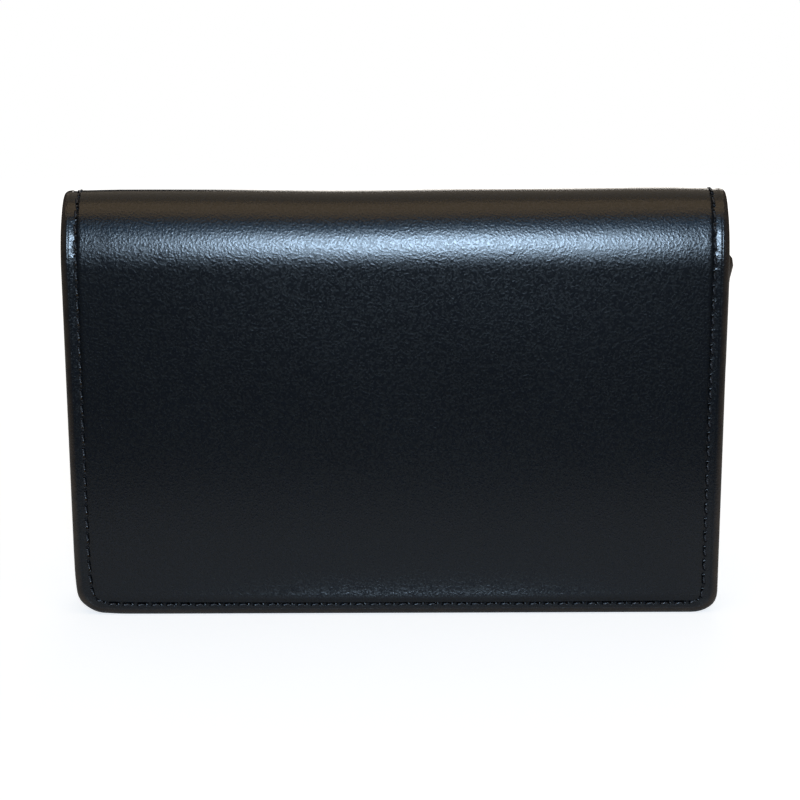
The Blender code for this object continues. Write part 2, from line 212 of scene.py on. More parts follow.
def leather_finish():
    material, shader = new_material("fine_grain_calf_leather")
    hide = add_node(material, "ShaderNodeAttribute", attribute_name="flat_place")
    placed = add_node(material, "ShaderNodeMapping", {"Vector": hide.outputs["Vector"], "Rotation": (0, 0, 0.4)})
    grain = add_node(
        material, "ShaderNodeTexNoise",
        {"Vector": placed.outputs[0], "Scale": 1 / GRAIN, "Detail": 2.0, "Roughness": 0.6},
    )
    cells = add_node(
        material, "ShaderNodeTexVoronoi", {"Vector": placed.outputs[0], "Scale": 1 / CELL, "Smoothness": 0.25},
        feature="SMOOTH_F1",
    )
    pores = add_node(material, "ShaderNodeTexNoise", {"Vector": placed.outputs[0], "Scale": 1 / PORE, "Detail": 2.0})
    relief = add_node(
        material, "ShaderNodeMath", {0: cells.outputs["Distance"], 1: -0.3, 2: grain.outputs["Fac"]},
        operation="MULTIPLY_ADD",
    )
    relief = add_node(
        material, "ShaderNodeMath", {0: pores.outputs["Fac"], 1: 0.2, 2: relief.outputs[0]}, operation="MULTIPLY_ADD"
    )
    bump = add_node(
        material, "ShaderNodeBump", {"Height": relief.outputs[0], "Distance": 0.037 * MM, "Strength": 1.0}
    )
    height = add_node(material, "ShaderNodeMapRange", {0: relief.outputs[0], 1: 0.38, 2: 0.58, 3: 0.0, 4: 1.0})
    clouds = add_node(material, "ShaderNodeTexNoise", {"Vector": placed.outputs[0], "Scale": 0.07, "Detail": 3.0})
    dye = add_node(
        material, "ShaderNodeMix", {0: clouds.outputs["Fac"], 6: linear("090b0f"), 7: linear("101318")},
        data_type="RGBA",
    )
    # The low parts of the relief are painted darker (040506): a painted shade in the grain's creases.
    grain_with_painted_crease_shade = add_node(
        material, "ShaderNodeMix", {0: height.outputs[0], 6: linear("040506"), 7: dye.outputs[2]}, data_type="RGBA"
    )
    # The brown on the rims (4a3a2c) is partly wear and partly a painted warm reflection of the light overhead.
    wear_and_painted_reflection = add_node(material, "ShaderNodeAttribute", attribute_name="wear_and_painted_reflection")
    rub_and_reflection_noise = add_node(
        material, "ShaderNodeTexNoise", {"Vector": placed.outputs[0], "Scale": 0.35, "Detail": 3.0, "Roughness": 0.7}
    )
    rubbed = add_node(
        material, "ShaderNodeMath", {0: wear_and_painted_reflection.outputs["Fac"], 1: rub_and_reflection_noise.outputs["Fac"]}, operation="MULTIPLY"
    )
    colour = add_node(
        material, "ShaderNodeMix", {0: rubbed.outputs[0], 6: grain_with_painted_crease_shade.outputs[2], 7: linear("4a3a2c")}, data_type="RGBA"
    )
    sheen = add_node(material, "ShaderNodeMapRange", {0: height.outputs[0], 1: 0.0, 2: 1.0, 3: 0.275, 4: 0.16})
    links = material.node_tree.links
    links.new(colour.outputs[2], shader.inputs["Base Color"])
    links.new(sheen.outputs[0], shader.inputs["Roughness"])
    links.new(bump.outputs[0], shader.inputs["Normal"])
    shader.inputs["IOR"].default_value = 1.5
    return material


calf = leather_finish()
print("finish:", calf.name, "with a grain of", GRAIN, "mm")

# %% [markdown]
# ## Cut edges, thread, lining cloth and board
# A cut edge of leather is brown right through the hide, rubbed smooth with wax.
# The thread is bonded polyester, waxed: three plies twisted together, so slanted ridges run round it and its
# wax gives a soft sheen. The lining is a black viscose twill with fine diagonal ribs. The stiffening board is
# grey bookbinder's board, pressed from waste paper, and shows short fibres. Each finish reads the flat place
# or the strand place that its own piece carries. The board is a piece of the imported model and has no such
# attribute, so it reads Object coordinates, which are in metres.

# %% The edge, thread, lining and board finishes
def edge_finish():
    material, shader = new_material("burnished_leather_edge")
    hide = add_node(material, "ShaderNodeAttribute", attribute_name="flat_place")
    layers = add_node(
        material, "ShaderNodeTexNoise", {"Vector": hide.outputs["Vector"], "Scale": 3.0, "Detail": 4.0}
    )
    shade = add_node(
        material, "ShaderNodeMix", {0: layers.outputs["Fac"], 6: linear("2e251c"), 7: linear("5a4a3a")},
        data_type="RGBA",
    )
    bump = add_node(
        material, "ShaderNodeBump", {"Height": layers.outputs["Fac"], "Distance": 0.05 * MM, "Strength": 0.5}
    )
    links = material.node_tree.links
    links.new(shade.outputs[2], shader.inputs["Base Color"])
    links.new(bump.outputs[0], shader.inputs["Normal"])
    shader.inputs["Roughness"].default_value = 0.5
    return material


def thread_finish():
    material, shader = new_material("waxed_polyester_thread")
    strand = add_node(material, "ShaderNodeAttribute", attribute_name="strand_place")
    slant = add_node(
        material, "ShaderNodeMapping", {"Vector": strand.outputs["Vector"], "Rotation": (0, 0, math.radians(35))}
    )
    plies = add_node(material, "ShaderNodeTexWave", {"Vector": slant.outputs[0], "Scale": 0.9}, bands_direction="X")
    bump = add_node(
        material, "ShaderNodeBump", {"Height": plies.outputs["Fac"], "Distance": 0.05 * MM, "Strength": 0.6}
    )
    shade = add_node(
        material, "ShaderNodeMix", {0: plies.outputs["Fac"], 6: linear("1a1a1c"), 7: linear("303033")},
        data_type="RGBA",
    )
    links = material.node_tree.links
    links.new(shade.outputs[2], shader.inputs["Base Color"])
    links.new(bump.outputs[0], shader.inputs["Normal"])
    shader.inputs["Roughness"].default_value = 0.33
    shader.inputs["IOR"].default_value = 1.5
    return material


def lining_finish():
    material, shader = new_material("black_viscose_twill")
    cloth = add_node(material, "ShaderNodeAttribute", attribute_name="flat_place")
    bias = add_node(
        material, "ShaderNodeMapping", {"Vector": cloth.outputs["Vector"], "Rotation": (0, 0, math.radians(58))}
    )
    ribs = add_node(material, "ShaderNodeTexWave", {"Vector": bias.outputs[0], "Scale": 0.5}, bands_direction="X")
    fluff = add_node(material, "ShaderNodeTexNoise", {"Vector": cloth.outputs["Vector"], "Scale": 5.0, "Detail": 3.0})
    relief = add_node(
        material, "ShaderNodeMath", {0: fluff.outputs["Fac"], 1: 0.4, 2: ribs.outputs["Fac"]}, operation="MULTIPLY_ADD"
    )
    bump = add_node(
        material, "ShaderNodeBump", {"Height": relief.outputs[0], "Distance": 0.06 * MM, "Strength": 0.8}
    )
    shade = add_node(
        material, "ShaderNodeMix", {0: relief.outputs[0], 6: linear("0c0d10"), 7: linear("1c1d21")}, data_type="RGBA"
    )
    links = material.node_tree.links
    links.new(shade.outputs[2], shader.inputs["Base Color"])
    links.new(bump.outputs[0], shader.inputs["Normal"])
    shader.inputs["Roughness"].default_value = 0.8
    shader.inputs["Sheen Weight"].default_value = 0.25
    shader.inputs["Sheen Roughness"].default_value = 0.4
    return material


def board_finish():
    material, shader = new_material("grey_bookbinders_board")
    place = add_node(material, "ShaderNodeTexCoord")
    fibres = add_node(
        material, "ShaderNodeTexNoise", {"Vector": place.outputs["Object"], "Scale": 900.0, "Detail": 4.0}
    )
    shade = add_node(
        material, "ShaderNodeMix", {0: fibres.outputs["Fac"], 6: linear("8d8a82"), 7: linear("c2beb4")},
        data_type="RGBA",
    )
    bump = add_node(
        material, "ShaderNodeBump", {"Height": fibres.outputs["Fac"], "Distance": 0.05 * MM, "Strength": 0.5}
    )
    links = material.node_tree.links
    links.new(shade.outputs[2], shader.inputs["Base Color"])
    links.new(bump.outputs[0], shader.inputs["Normal"])
    shader.inputs["Roughness"].default_value = 0.9
    return material


cut_edge = edge_finish()
thread = thread_finish()
twill = lining_finish()
board = board_finish()
for name in ("front_board", "back_board"):
    slots = frame["nodes"][name].data.materials
    slots.clear()
    slots.append(board)
print("finishes:", thread.name, twill.name, board.name)

# %% [markdown]
# ## Cutting flat pieces
# Each flat piece starts as one face from create_grid, pulled to size. Bevelling a corner's vertex, rather
# than an edge, rounds the outline as a corner punch does. Extruding the face gives the thickness, and
# bevelling the two outlines rolls the edge over. Rings inset into the face follow the outline everywhere, so
# they are the natural way to press a groove that runs round the piece.

# %% Helpers that cut and edge a flat piece
def cut_flat(low, high, half_width, corner, rounded):
    """One face between two places along the hide, with the corners at its rounded ends rounded."""
    work = bmesh.new()
    bmesh.ops.create_grid(work, x_segments=1, y_segments=1, size=1)
    bmesh.ops.scale(work, vec=(half_width, (high - low) / 2, 1), verts=work.verts)
    bmesh.ops.translate(work, vec=(0, (low + high) / 2, 0), verts=work.verts)
    ends = [vert for vert in work.verts if any(abs(vert.co.y - end) < 0.01 for end in rounded)]
    bmesh.ops.bevel(
        work, geom=ends, offset=corner, offset_type="OFFSET", segments=8, profile=0.5, affect="VERTICES", material=-1
    )
    return work


def thicken(work, thickness, edge, steps):
    """Gives the face a thickness below it and rolls its edges. Returns the upper face."""
    made = bmesh.ops.extrude_face_region(work, geom=work.faces[:])
    lower = [item for item in made["geom"] if isinstance(item, bmesh.types.BMVert)]
    bmesh.ops.translate(work, vec=(0, 0, -thickness), verts=lower)
    bmesh.ops.recalc_face_normals(work, faces=work.faces[:])
    outlines = [e for e in work.edges if abs(e.verts[0].co.z - e.verts[1].co.z) < 1e-5]
    bmesh.ops.bevel(
        work, geom=outlines, offset=edge, offset_type="OFFSET", segments=steps, profile=0.5, affect="EDGES", material=-1
    )
    return max(work.faces, key=lambda face: (round(face.calc_center_median().z, 3), face.calc_area()))


def press_rings(work, face, rings):
    """Insets the face again and again: each ring has a width and how far it rises."""
    for ring_width, rise in rings:
        bmesh.ops.inset_region(work, faces=[face], thickness=ring_width, depth=rise, use_even_offset=True)


def score(work, direction, places):
    """Cuts through the piece along lines, so that it has edges to bend at."""
    for place in places:
        bmesh.ops.bisect_plane(
            work, geom=work.verts[:] + work.edges[:] + work.faces[:], dist=1e-4,
            plane_co=Vector(direction) * place, plane_no=direction,
        )


ACROSS = (1, 0, 0)
ALONG = (0, 1, 0)
fold_scores = [side * QUARTER * step / 24 for step in range(1, 25) for side in (-1, 1)]
ridge_scores = [-0.02, 0.02]
print(f"the fold is scored every {QUARTER / 24:.2f} mm")

# %% [markdown]
# ## From the flat to the case
# When a piece is finished flat, every point first keeps its flat place as an attribute, for the grain, and
# then moves to where the leather lies on the case. The cover is one piece of leather, but it has to bend at
# two creases when the case opens, so it is parted where the ridge of the fold runs, into a front and a rear
# half. Two very narrow strips beside the ridge keep its normals upright, so the parting can't be seen.

# %% Helpers that part and place a piece, and bake its transform
def half_of(work, side):
    """The half of a flat piece before the ridge (side -1) or behind it (side 1), with its cut face closed."""
    half = work.copy()
    bmesh.ops.bisect_plane(
        half, geom=half.verts[:] + half.edges[:] + half.faces[:], dist=1e-4, plane_co=(0, 0, 0), plane_no=ALONG,
        clear_outer=side < 0, clear_inner=side > 0,
    )
    cut_edges = [edge for edge in half.edges if edge.is_boundary]
    bmesh.ops.holes_fill(half, edges=cut_edges, sides=0)
    for edge in cut_edges:
        edge.smooth = False
    return half


def make_piece(work, name, finish, place=fold, crease_angle=35):
    """Moves a flat piece to its place on the case, brings it to metres and makes it an object."""
    layer = work.verts.layers.float_vector.get("flat_place") or work.verts.layers.float_vector.new("flat_place")
    for vert in work.verts:
        vert[layer] = vert.co
        vert.co = place(vert.co) * MM
    for edge in work.edges:
        if len(edge.link_faces) == 2 and edge.calc_face_angle(0) > math.radians(crease_angle):
            edge.smooth = False
    for face in work.faces:
        face.smooth = True
    mesh = bpy.data.meshes.new(name)
    work.to_mesh(mesh)
    work.free()
    mesh.materials.append(finish)
    piece = bpy.data.objects.new(name, mesh)
    bpy.context.scene.collection.objects.link(piece)
    print(f"{name}: {len(mesh.polygons)} faces")
    return piece


# %% [markdown]
# hang bakes each half's place into its mesh; the halves are not set to bend at the creases.


def hang(front, rear):
    """Bakes the world transforms of a front half and a rear half into their meshes."""
    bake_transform(front)
    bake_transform(rear)


# %% [markdown]
# ## Marking the seam
# Before anything is sewn, the holes are marked. The seam's path is the outline of a flat piece cut to the
# seam's own size, and the holes are spaced evenly along it, with one exactly on the ridge at each side, where
# the cover is parted. The holes are wanted twice: the leather dips at each of them, and the thread runs from
# one to the next.

# %% Mark the holes of the seam
PITCH = 2.45
seam_reach = REACH - SEAM_BOTTOM


def holes_along(path, count):
    """Evenly spaced holes along a path of flat points."""
    path = np.array([tuple(point)[:2] for point in path])
    lengths = np.concatenate([[0], np.cumsum(np.hypot(*np.diff(path, axis=0).T))])
    places = np.linspace(0, lengths[-1], count + 1)
    return [Vector((np.interp(s, lengths, path[:, 0]), np.interp(s, lengths, path[:, 1]))) for s in places]


def seam_path():
    """The seam as it lies flat, from the ridge on the right all round and home."""
    outline = cut_flat(-seam_reach, seam_reach, WIDTH / 2 - SEAM_SIDE, SEAM_CORNER, (-seam_reach, seam_reach))
    points = [vert.co.copy() for vert in outline.faces[:][0].verts]
    outline.free()
    last_before = next(
        at for at, point in enumerate(points)
        if point.x > 0 and point.y * points[(at + 1) % len(points)].y < 0
    )
    points = points[last_before + 1:] + points[:last_before + 1]
    ridge = Vector((WIDTH / 2 - SEAM_SIDE, 0, 0))
    return [ridge, *points, ridge]


path = seam_path()
around = sum((b - a).length for a, b in zip(path, path[1:]))
count = 2 * round(around / PITCH / 2)
seam_holes = holes_along(path, count)
half_count = count // 2
print(f"seam {around:.0f} mm round, {count} stitches of {around / count:.2f} mm")

# %% [markdown]
# ## The cover
# The cover's edges are turned in: the leather is skived thin, folded back and glued, so the rim is two
# thicknesses deep and its edge is round. A groove is pressed for the seam 2.5 mm from the sides. At the two
# lower edges the seam lies closer, 1.8 mm, so the strip outside it is cut at the side's width and then
# squeezed. Inside, the leather is single between the turn-ins, which is where the board lies. Pulled tight
# over the board, the middle stands a little proud and dips to the stitches.

# %% Cut and press the cover
EDGE_ROLL = 0.85
CROWN = 0.12
PILLOW = 0.10
HEM = 0.78
WAVE = 0.10
SAG = 0.3
RIDGE_LIFT = 0.8
HOLE_DIP = 0.13
HOLE_REACH = 0.32
RIM_RINGS = [(0.25, 0.05), (0.15, 0.01), (0.20, -0.12), (0.15, -0.02), (0.50, -0.02), (0.40, -0.01)]
PANEL_RINGS = [(0.15, 0.02), (0.25, 0.08), (0.15, 0.03), (0.45, -0.02)]
LOW_PRESS = 0.7
LOW_FALL = 0.1
cut_reach = seam_reach + SEAM_SIDE


def inward(vert, half_width, half_length, corner):
    """How far inside the rounded outline a flat point lies."""
    beyond_side = abs(vert.co.x) - (half_width - corner)
    beyond_end = abs(vert.co.y) - (half_length - corner)
    outside = math.hypot(max(beyond_side, 0.0), max(beyond_end, 0.0))
    return corner - outside - min(max(beyond_side, beyond_end), 0.0)


cover = cut_flat(-cut_reach, cut_reach, WIDTH / 2, CORNER, (-cut_reach, cut_reach))
face = thicken(cover, TURNED_EDGE, EDGE_ROLL, 5)
press_rings(cover, face, RIM_RINGS + PANEL_RINGS)
flat_scores = [side * (QUARTER + 3.6 * step) for step in range(1, 16) for side in (-1, 1)]
flat_scores += [side * (REACH - up) for up in (3.3, 3.9, 4.7, 5.6, 6.6, 7.8) for side in (-1, 1)]
board_end = REACH - TURN_IN
board_side = WIDTH / 2 - TURN_IN
score(cover, ALONG, ridge_scores + fold_scores + flat_scores + [-board_end, board_end])
score(cover, ACROSS, [side * place for place in (*range(0, 46, 5), board_side) for side in (-1, 1)])
print("cover cut and scored:", len(cover.faces), "faces")

# %% Recess its inside, crown its middle and squeeze its lower rims
single = [
    face for face in cover.faces
    if face.normal.z < -0.9 and abs(face.calc_center_median().x) < board_side
    and abs(face.calc_center_median().y) < board_end
]
raised = bmesh.ops.extrude_face_region(cover, geom=single)
raised = [item for item in raised["geom"] if isinstance(item, bmesh.types.BMVert)]
bmesh.ops.translate(cover, vec=(0, 0, TURNED_EDGE - LEATHER), verts=raised)
def ease(share):
    """0 below 0, 1 above 1, and a smooth rise between."""
    share = min(max(share, 0.0), 1.0)
    return share * share * (3 - 2 * share)


def ridge_lift(across, along):
    """The fold stands a little proud of the boards, less in its middle, where it sags, and at its sewn ends."""
    sewn_share = 0.75 + 0.25 * ease((WIDTH / 2 - abs(across)) / 10)
    return (RIDGE_LIFT * sewn_share - SAG * math.exp(-((across + 5) / 30) ** 2)) * math.exp(-(along / 7) ** 2)


def swell(across, along, inside):
    """How far the leather stands over the board and the fold, inside the seam."""
    run = abs(along)
    off_ridge = ease((run - 2) / 9)
    up_face = 1 - ease((run - 20) / 30)
    height = CROWN * off_ridge * (1 - math.exp(-inside / 3.0))
    height += PILLOW * off_ridge * up_face * math.sin(math.pi / 2 * min(inside / 24, 1.0))
    height += WAVE * noise.noise(Vector((across, along, 0)) / 19) * (1 - math.exp(-inside / 6))
    over_hem = REACH - run
    if over_hem < 16:
        middle_share = 0.3 + 0.7 * math.exp(-((across - 4) / 34) ** 4)
        height += HEM * middle_share * ease(inside / 0.45) * math.exp(-max(over_hem - 3.2, 0) / 3.2)
    return height


for vert in cover.verts:
    inside = inward(vert, WIDTH / 2, cut_reach, CORNER) - 2.7
    if vert.co.z > -0.5:
        low_share = ease((abs(vert.co.y) - cut_reach + CORNER) / CORNER)
        if inside > -1.86:
            vert.co.z *= 1 - LOW_PRESS * low_share
        vert.co.z -= LOW_FALL * low_share * max(-0.6 - inside, 0.0)
        vert.co.z += ridge_lift(vert.co.x, vert.co.y)
        if inside > 0:
            vert.co.z += swell(vert.co.x, vert.co.y, inside)
    if abs(vert.co.y) > seam_reach:
        beyond = (abs(vert.co.y) - seam_reach) * SEAM_BOTTOM / SEAM_SIDE
        vert.co.y = math.copysign(seam_reach + beyond, vert.co.y)
print("height over the flat cover, mm:", round(max(vert.co.z for vert in cover.verts), 2))

# %% [markdown]
# The thread pulls the leather down at each hole. The rings round the seam are cut finer along their length,
# and every point near a hole is sunk. The same rings tell where the rim is, which gets its painted brown:
# partly wear, partly a painted warm reflection of the light overhead.

# %% Dip the leather at the holes and mark the rim for its wear and painted reflection
depths = {vert: inward(vert, WIDTH / 2, cut_reach, CORNER) for vert in cover.verts if vert.co.z > -0.5}
to_cut = {}
for edge in cover.edges:
    one, other = (depths.get(vert) for vert in edge.verts)
    if one and other and 2.0 < one < 3.0 and abs(one - other) < 0.03:
        cuts = round(edge.calc_length() / 0.4) - 1
        if cuts > 0:
            to_cut.setdefault(cuts, []).append(edge)
for cuts, edges in to_cut.items():
    bmesh.ops.subdivide_edges(cover, edges=edges, cuts=cuts)
hole_places = np.array([tuple(hole) for hole in seam_holes])
wear_and_reflection_layer = cover.verts.layers.float.new("wear_and_painted_reflection")
for vert in cover.verts:
    depth = inward(vert, WIDTH / 2, REACH, CORNER)
    if vert.co.z > -0.5 and depth < 3.5:
        nearest = float(np.hypot(*(hole_places - vert.co.xy).T).min())
        vert.co.z -= HOLE_DIP * math.exp(-(nearest / HOLE_REACH) ** 2)
    vert[wear_and_reflection_layer] = min(max(1.25 - depth, 0.0), 1.0)
print("cover with its holes:", len(cover.faces), "faces")

# %% Fold the two halves
front_cover = make_piece(half_of(cover, -1), "front_cover_leather", calf)
rear_cover = make_piece(half_of(cover, 1), "rear_cover_leather", calf)
cover.free()
hang(front_cover, rear_cover)
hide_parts("front_cover", "spine_cover")
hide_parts("back_cover")

# %% [markdown]
# ## The lining
# A twill lining is glued over the boards and reaches almost to the rims. It is cut 1 mm smaller than the
# cover on every side, and follows the same fold on the inside.

# %% Cut and fold the lining
LINING = LINING_FACE - LINING_BACK
lining_reach = REACH - LINING_INSET
lining_side = WIDTH / 2 - LINING_INSET
lining_corner = CORNER - LINING_INSET
lining = cut_flat(-lining_reach, lining_reach, lining_side, lining_corner, (-lining_reach, lining_reach))
bmesh.ops.translate(lining, vec=(0, 0, -LINING_BACK), verts=lining.verts)
thicken(lining, LINING, 0.2, 2)
score(lining, ALONG, ridge_scores + fold_scores)
front_lining = make_piece(half_of(lining, -1), "front_lining_cloth", twill)
rear_lining = make_piece(half_of(lining, 1), "rear_lining_cloth", twill)
lining.free()
hang(front_lining, rear_lining)
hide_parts("front_lining", "spine_lining")
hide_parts("back_lining")
print(f"each half of the lining is cut {2 * lining_side:.0f} x {lining_reach:.1f} mm")

# %% [markdown]
# ## Stitches
# A lockstitch shows as a row of short, slightly slanted threads that dip into the holes at both ends. One
# stitch is a six-sided tube, extruded ring by ring from a circle, with its ends narrowed and sunk. It is then
# copied from hole to hole along the seam while the leather is flat, so the stitches bend over the fold with it.

# %% One stitch
SLANT = math.radians(7)
STATIONS = [(-0.5, 0.5, -0.3), (-0.44, 0.8, -0.1), (-0.3, 1.0, 0.04), (0.0, 1.05, 0.1), (0.3, 1.0, 0.04), (0.44, 0.8, -0.1), (0.5, 0.5, -0.3)]


def sew_stitch():
    """One stitch along x, one pitch long, with the leather's surface at zero height."""
    work = bmesh.new()
    bmesh.ops.create_circle(work, cap_ends=True, segments=6, radius=THREAD)
    bmesh.ops.rotate(work, matrix=Matrix.Rotation(math.pi / 2, 3, "Y"), verts=work.verts)
    end = work.faces[:]
    place = Vector((0, 0, 0))
    size = 1.0
    for share, next_size, height in STATIONS:
        if place.length:
            made = bmesh.ops.extrude_face_region(work, geom=end)["geom"]
            end = [item for item in made if isinstance(item, bmesh.types.BMFace)]
        ring = end[0].verts[:]
        next_place = Vector((share * PITCH, 0, height))
        bmesh.ops.translate(work, vec=next_place - place, verts=ring)
        bmesh.ops.scale(work, vec=(next_size / size,) * 3, space=Matrix.Translation(-next_place), verts=ring)
        place, size = next_place, next_size
    bmesh.ops.recalc_face_normals(work, faces=work.faces[:])
    strand = work.verts.layers.float_vector.new("strand_place")
    for vert in work.verts:
        vert[strand] = vert.co
    return work


print("one stitch:", len(sew_stitch().faces), "faces")

# %% Rows of stitches
def sew(holes, height, inner=False):
    """Stitches from hole to hole. The height over the outer face is a number or a function of the place."""
    work = sew_stitch()
    model = work.verts[:] + work.edges[:] + work.faces[:]
    for start, end in zip(holes, holes[1:]):
        middle = (Vector(start) + Vector(end)) / 2
        run = Vector(end) - Vector(start)
        level = height(middle) if callable(height) else height
        turn = Matrix.Rotation(math.atan2(run.y, run.x) + SLANT, 4, "Z")
        if inner:
            turn = turn @ Matrix.Rotation(math.pi, 4, "X")
        placed = Matrix.Translation((middle.x, middle.y, level)) @ turn @ Matrix.Scale(run.length / PITCH, 4, (1, 0, 0))
        copy = bmesh.ops.duplicate(work, geom=model)["geom"]
        bmesh.ops.transform(work, matrix=placed, verts=[item for item in copy if isinstance(item, bmesh.types.BMVert)])
    bmesh.ops.delete(work, geom=[item for item in model if isinstance(item, bmesh.types.BMVert)], context="VERTS")
    return work


# %% Sew the cover's seam, outside and inside
first_half, second_half = seam_holes[:half_count + 1], seam_holes[half_count:]
front_holes, rear_holes = (first_half, second_half) if first_half[1].y < 0 else (second_half, first_half)
THREAD_SEAT = -0.05
WING_FACE = 3.7


def outer_layer(middle):
    """The height of the needle thread, which follows the leather where it stands higher over the ridge."""
    return THREAD_SEAT + ridge_lift(middle.x, middle.y)


def front_layer(middle):
    """The height of the innermost layer at the seam inside the front cover."""
    up = REACH - abs(middle.y)
    face_depth = LOWER_SLOT_FACE if up < LOWER_SLOT_MOUTH else UPPER_SLOT_FACE if up < UPPER_SLOT_MOUTH else LINING_FACE
    return -face_depth - 0.05


def rear_layer(middle):
    """The height of the innermost layer at the seam inside the back cover, where the gusset's wing lies."""
    return -(WING_FACE if REACH - abs(middle.y) < 58.3 else LINING_FACE) - 0.05


front_seam = make_piece(sew(front_holes, outer_layer), "front_needle_stitches", thread)
rear_seam = make_piece(sew(rear_holes, outer_layer), "rear_needle_stitches", thread)
front_inner_seam = make_piece(sew(front_holes, front_layer, inner=True), "front_bobbin_stitches", thread)
rear_inner_seam = make_piece(sew(rear_holes, rear_layer, inner=True), "rear_bobbin_stitches", thread)
hang(front_seam, rear_seam)
hang(front_inner_seam, rear_inner_seam)
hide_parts("front_needle_thread", "spine_left_needle_thread", "spine_right_needle_thread")
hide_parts("back_needle_thread")
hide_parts("front_bobbin_thread", "spine_left_bobbin_thread", "spine_right_bobbin_thread")
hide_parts("back_bobbin_thread")

# %% [markdown]
# ## The card slots
# Two slots lie one over the other inside the front cover. Each is a thin leather panel with rounded lower
# corners, caught in the seam at its sides and bottom and stitched along its open mouth.

# %% Cut, stitch and hang the slots
for name, face_depth, mouth in (
    ("upper_slot", UPPER_SLOT_FACE, UPPER_SLOT_MOUTH),
    ("lower_slot", LOWER_SLOT_FACE, LOWER_SLOT_MOUTH),
):
    low, high = -lining_reach, mouth - REACH
    panel = cut_flat(low, high, lining_side, lining_corner, (low,))
    bmesh.ops.translate(panel, vec=(0, 0, SLOT_LEATHER - face_depth), verts=panel.verts)
    thicken(panel, SLOT_LEATHER, 0.2, 3)
    piece = make_piece(panel, name + "_leather", calf)
    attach(piece, "front_half")
    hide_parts(name)
    side = WIDTH / 2 - SEAM_SIDE - 0.9
    row = holes_along([(-side, high - 1.8), (side, high - 1.8)], 42)
    stitches = make_piece(sew(row, -face_depth - 0.05, inner=True), name + "_stitches", thread)
    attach(stitches, "front_half")
    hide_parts(name + "_thread")

# %% [markdown]
# ## The card pocket
# The pocket's front is a leather panel with a half-round thumb notch in its mouth. The notch starts as a
# rectangle: the panel is scored on three lines, the face between them is deleted, and the rest is joined to
# one face. Bevelling the rectangle's two lower corners by half its width then makes the half circle. The
# panel stands upright on the back cover, so it has its own way of being placed.

# %% Cut and press the pocket's front
POCKET_LEATHER = 1.0
POCKET_INSET = 0.8
POCKET_MOUTH = 57.0
POCKET_FACE = -1.56
NOTCH = 11.0
GROOVE_DROP = 1.7
POCKET_RINGS = [(0.55, 0.03), (0.45, 0.0), (0.15, -0.1), (0.20, -0.14), (0.20, 0.14), (0.15, 0.1), (0.40, 0.02)]


def stand_pocket(place):
    """The place on the case of a point of the pocket's flat pattern, whose y is the height over the ground."""
    across, up, height = place
    return Vector((across, POCKET_FACE - height, up))


pocket = cut_flat(POCKET_INSET, POCKET_MOUTH, WIDTH / 2 - POCKET_INSET, CORNER - POCKET_INSET, (POCKET_INSET,))
score(pocket, ACROSS, (-NOTCH, NOTCH))
score(pocket, ALONG, (POCKET_MOUTH - NOTCH,))
middle_faces = [
    face for face in pocket.faces
    if abs(face.calc_center_median().x) < NOTCH and face.calc_center_median().y > POCKET_MOUTH - NOTCH
]
bmesh.ops.delete(pocket, geom=middle_faces, context="FACES")
bmesh.ops.dissolve_limit(pocket, angle_limit=0.01, verts=pocket.verts, edges=pocket.edges)
notch_corners = [v for v in pocket.verts if abs(v.co.x) < NOTCH + 0.1 and v.co.y < POCKET_MOUTH - 1]
notch_corners = [v for v in notch_corners if v.co.y > POCKET_MOUTH - NOTCH - 0.1]
bmesh.ops.bevel(
    pocket, geom=notch_corners, offset=NOTCH - 0.02, offset_type="OFFSET", segments=10, profile=0.5,
    affect="VERTICES", material=-1,
)
print("pocket outline:", len(pocket.faces), "face with", len(pocket.verts), "corners")
face = thicken(pocket, POCKET_LEATHER, 0.35, 3)
press_rings(pocket, face, POCKET_RINGS)
pocket_front = make_piece(pocket, "pocket_front_leather", calf, stand_pocket)
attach(pocket_front, "pocket_panel")
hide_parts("pocket_front")

# %% Sew the pocket's seam and mouth
outline = cut_flat(SEAM_BOTTOM, POCKET_MOUTH - 1, WIDTH / 2 - SEAM_SIDE, SEAM_CORNER, (SEAM_BOTTOM,))
points = [vert.co.copy() for vert in outline.faces[:][0].verts]
outline.free()
top_at = next(
    at for at, point in enumerate(points) if min(point.y, points[(at + 1) % len(points)].y) > POCKET_MOUTH - 2
)
seam_line = points[top_at + 1:] + points[:top_at + 1]
around_notch = NOTCH + GROOVE_DROP
start_turn = math.asin(GROOVE_DROP / around_notch)
notch_turns = np.linspace(math.pi + start_turn, 2 * math.pi - start_turn, 33)
mouth_side = WIDTH / 2 - SEAM_SIDE - 0.9
mouth_line = [(-mouth_side, POCKET_MOUTH - GROOVE_DROP)]
mouth_line += [(around_notch * math.cos(t), POCKET_MOUTH + around_notch * math.sin(t)) for t in notch_turns]
mouth_line += [(mouth_side, POCKET_MOUTH - GROOVE_DROP)]
for name, line, count in (("pocket_seam", seam_line, 88), ("pocket_mouth", mouth_line, 47)):
    stitches = make_piece(sew(holes_along(line, count), THREAD_SEAT), name + "_stitches", thread, stand_pocket)
    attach(stitches, "pocket_panel")
    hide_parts(name + "_thread")

# %% [markdown]
# ## The gusset
# The gusset is a strip that runs down one side of the pocket, along the bottom and up the other side. It is
# bent to a C, sewn by one edge to the back cover and by the other to the pocket, and its middle bulges
# outward, a little more on the right, where a rounded corner of it shows past the cover. The strip starts as
# a grid. Its length is laid along the U of the seam, and its width round the C. Between its sewn edges the
# end of the strip stands up like a tongue. Solidify gives it its thickness, and gives the rim that this makes
# a finish of its own, the brown of a cut and burnished edge.

